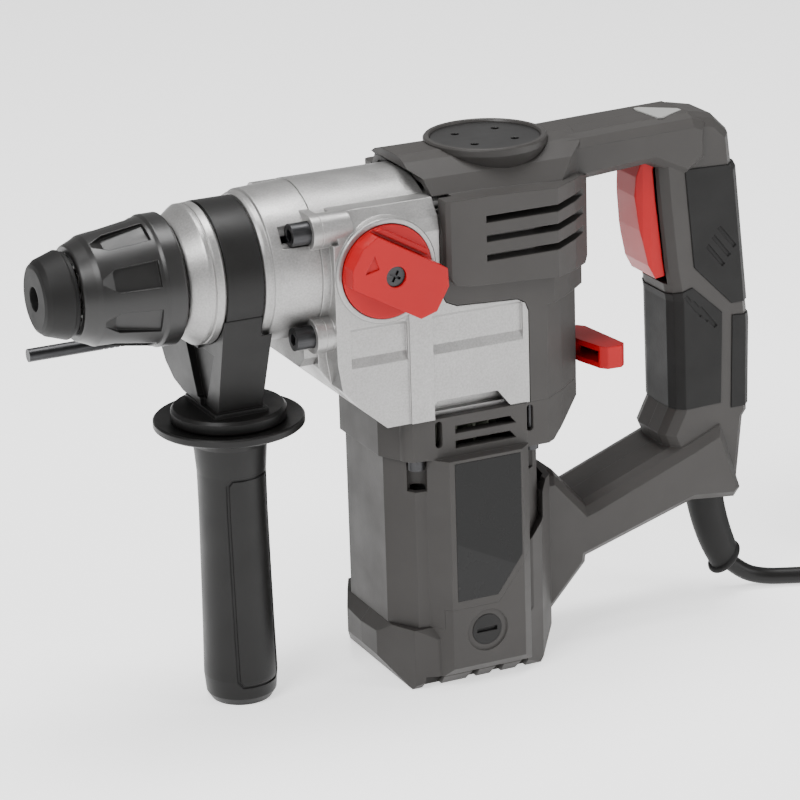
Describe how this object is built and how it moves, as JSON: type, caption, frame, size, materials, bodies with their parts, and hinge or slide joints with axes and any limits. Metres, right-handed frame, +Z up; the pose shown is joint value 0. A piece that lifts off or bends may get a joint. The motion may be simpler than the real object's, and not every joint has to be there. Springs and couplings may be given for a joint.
{
  "type": "rotary hammer",
  "caption": "Corded rotary hammer with an L-shaped body, D-shaped rear handle, swivelling side handle with depth rod, mode knob, rear lever and full drive train inside.",
  "frame": {"origin": "middle of the tool socket's mouth, on the spindle axis", "axes": "-X out of the socket towards the work, +Z up, -Y the side with the selector knob"},
  "size_m": [0.5296, 0.1304, 0.2424],
  "materials": {
    "aluminium_cast": "grainy cast and blasted aluminium",
    "grey_plastic": "fine-textured glass-filled nylon",
    "black_plastic": "fine-textured black nylon",
    "sleeve_plastic": "satin black moulded sleeve",
    "black_rubber": "matt moulded rubber",
    "grip_rubber": "matt soft inlay",
    "red_plastic": "smooth moulded red",
    "label": "printed foil on a thin plate",
    "steel": "ground and oiled steel",
    "dark_steel": "blackened screw steel",
    "bearing_steel": "polished bearing steel",
    "laminations": "stacked sheets under thin lacquer",
    "copper": "lacquered copper",
    "carbon": "pressed carbon",
    "brass": "machined",
    "cord_rubber": "smooth cable sheath"
  },
  "bodies": {
    "body": {"front_cover": "aluminium_cast", "cover_screws": "dark_steel", "gear_housing": "aluminium_cast", "gear_plate": "aluminium_cast", "oil_seal": "black_rubber", "tube_bearings": "bearing_steel", "shaft_bearings": "bearing_steel", "motor_housing": "grey_plastic", "housing_screws": "dark_steel", "label_plates": "label", "stator_core": "laminations", "field_coils": "copper", "brush_caps": "black_plastic", "brush_holders": "brass", "carbon_brushes": "carbon", "armature_bearings": "bearing_steel", "handle_shell_left": "grey_plastic", "handle_shell_right": "grey_plastic", "shell_screws": "dark_steel", "grip_pads": "grip_rubber", "lid_ring": "grey_plastic", "grease_cap": "black_plastic", "trigger_switch": "black_plastic", "strain_relief": "black_rubber", "cord": "cord_rubber", "cord_coil": "cord_rubber", "cord_tie": "black_rubber", "plug": "black_rubber"},
    "spindle": {"tool_holder": "steel", "hammer_tube": "steel", "bevel_gear": "steel", "dust_cap": "black_rubber", "locking_balls": "bearing_steel", "sleeve_spring": "dark_steel"},
    "sleeve": {"locking_sleeve": "sleeve_plastic"},
    "anvil": {"impact_bolt": "steel"},
    "ram": {"striker": "steel"},
    "piston": {"piston": "steel", "piston_pin": "steel"},
    "rod": {"connecting_rod": "steel"},
    "crank": {"crankshaft": "steel", "crank_gear": "steel"},
    "layshaft": {"intermediate_shaft": "steel", "intermediate_gear": "steel"},
    "rotor": {"armature_shaft": "steel", "armature_core": "laminations", "armature_windings": "copper", "commutator": "copper", "fan": "black_plastic"},
    "knob": {"selector_knob": "red_plastic", "knob_screw": "dark_steel"},
    "fork": {"shift_fork": "steel"},
    "lever": {"function_lever": "red_plastic"},
    "trigger": {"trigger": "red_plastic"},
    "side_handle": {"clamp_band": "black_plastic", "handle_bracket": "black_plastic", "clamp_bolt": "dark_steel"},
    "side_grip": {"side_grip": "black_plastic"},
    "depth_stop": {"depth_rod": "steel"}
  },
  "joints": [
    {"name": "rotor_spin", "type": "hinge", "parent": "body", "child": "rotor", "pos_m": [0.182, 0, -0.12], "axis": [0, 0, 1], "continuous": true},
    {"name": "crank_spin", "type": "hinge", "parent": "body", "child": "crank", "pos_m": [0.208, 0, -0.05], "axis": [0, 0, 1], "continuous": true},
    {"name": "layshaft_spin", "type": "hinge", "parent": "body", "child": "layshaft", "pos_m": [0.154, 0, -0.05], "axis": [0, 0, 1], "continuous": true},
    {"name": "spindle_spin", "type": "hinge", "parent": "body", "child": "spindle", "pos_m": [0.06, 0, 0], "axis": [1, 0, 0], "continuous": true},
    {"name": "sleeve_slide", "type": "slide", "parent": "spindle", "child": "sleeve", "axis": [1, 0, 0], "range_m": [0, 0.0042], "stiffness_N_per_m": 1800, "springref_m": -0.004, "deforming": ["sleeve_spring"]},
    {"name": "anvil_slide", "type": "slide", "parent": "body", "child": "anvil", "axis": [1, 0, 0], "range_m": [-0.0028, 0]},
    {"name": "ram_slide", "type": "slide", "parent": "body", "child": "ram", "axis": [1, 0, 0], "range_m": [-0.0075, 0.0075]},
    {"name": "piston_slide", "type": "slide", "parent": "body", "child": "piston", "axis": [1, 0, 0], "range_m": [0, 0.022]},
    {"name": "rod_swing", "type": "hinge", "parent": "piston", "child": "rod", "pos_m": [0.145, 0, 0], "axis": [0, 0, 1], "range_deg": [-12.2, 12.2]},
    {"name": "selector_turn", "type": "hinge", "parent": "body", "child": "knob", "pos_m": [0.1403, -0.038, -0.0002], "axis": [0, -1, 0], "range_deg": [0, 90]},
    {"name": "fork_slide", "type": "slide", "parent": "body", "child": "fork", "axis": [1, 0, 0], "range_m": [-0.004, 0.0002]},
    {"name": "lever_turn", "type": "hinge", "parent": "body", "child": "lever", "pos_m": [0.238, 0, -0.0612], "axis": [0, 0, 1], "range_deg": [0, 55]},
    {"name": "trigger_pull", "type": "hinge", "parent": "body", "child": "trigger", "pos_m": [0.286, 0, 0.024], "axis": [0, -1, 0], "range_deg": [0, 8], "stiffness_Nm_per_rad": 0.9, "springref_deg": -14.32},
    {"name": "side_handle_swivel", "type": "hinge", "parent": "body", "child": "side_handle", "pos_m": [0.078, 0, 0], "axis": [1, 0, 0], "range_deg": [0, 200]},
    {"name": "side_grip_turn", "type": "hinge", "parent": "side_handle", "child": "side_grip", "pos_m": [0.08, 0, -0.12], "axis": [0, 0, 1], "range_deg": [0, 360]},
    {"name": "depth_stop_slide", "type": "slide", "parent": "side_handle", "child": "depth_stop", "axis": [1, 0, 0], "range_m": [-0.07, 0.055]}
  ],
  "couplings": [
    {"joint": "crank_spin", "follows": "rotor_spin", "ratio": -0.18182},
    {"joint": "layshaft_spin", "follows": "rotor_spin", "ratio": -0.16667},
    {"joint": "spindle_spin", "follows": "rotor_spin", "ratio": 0.055556},
    {"joint": "fork_slide", "follows": "selector_turn", "m_per_rad": -0.0025}
  ]
}
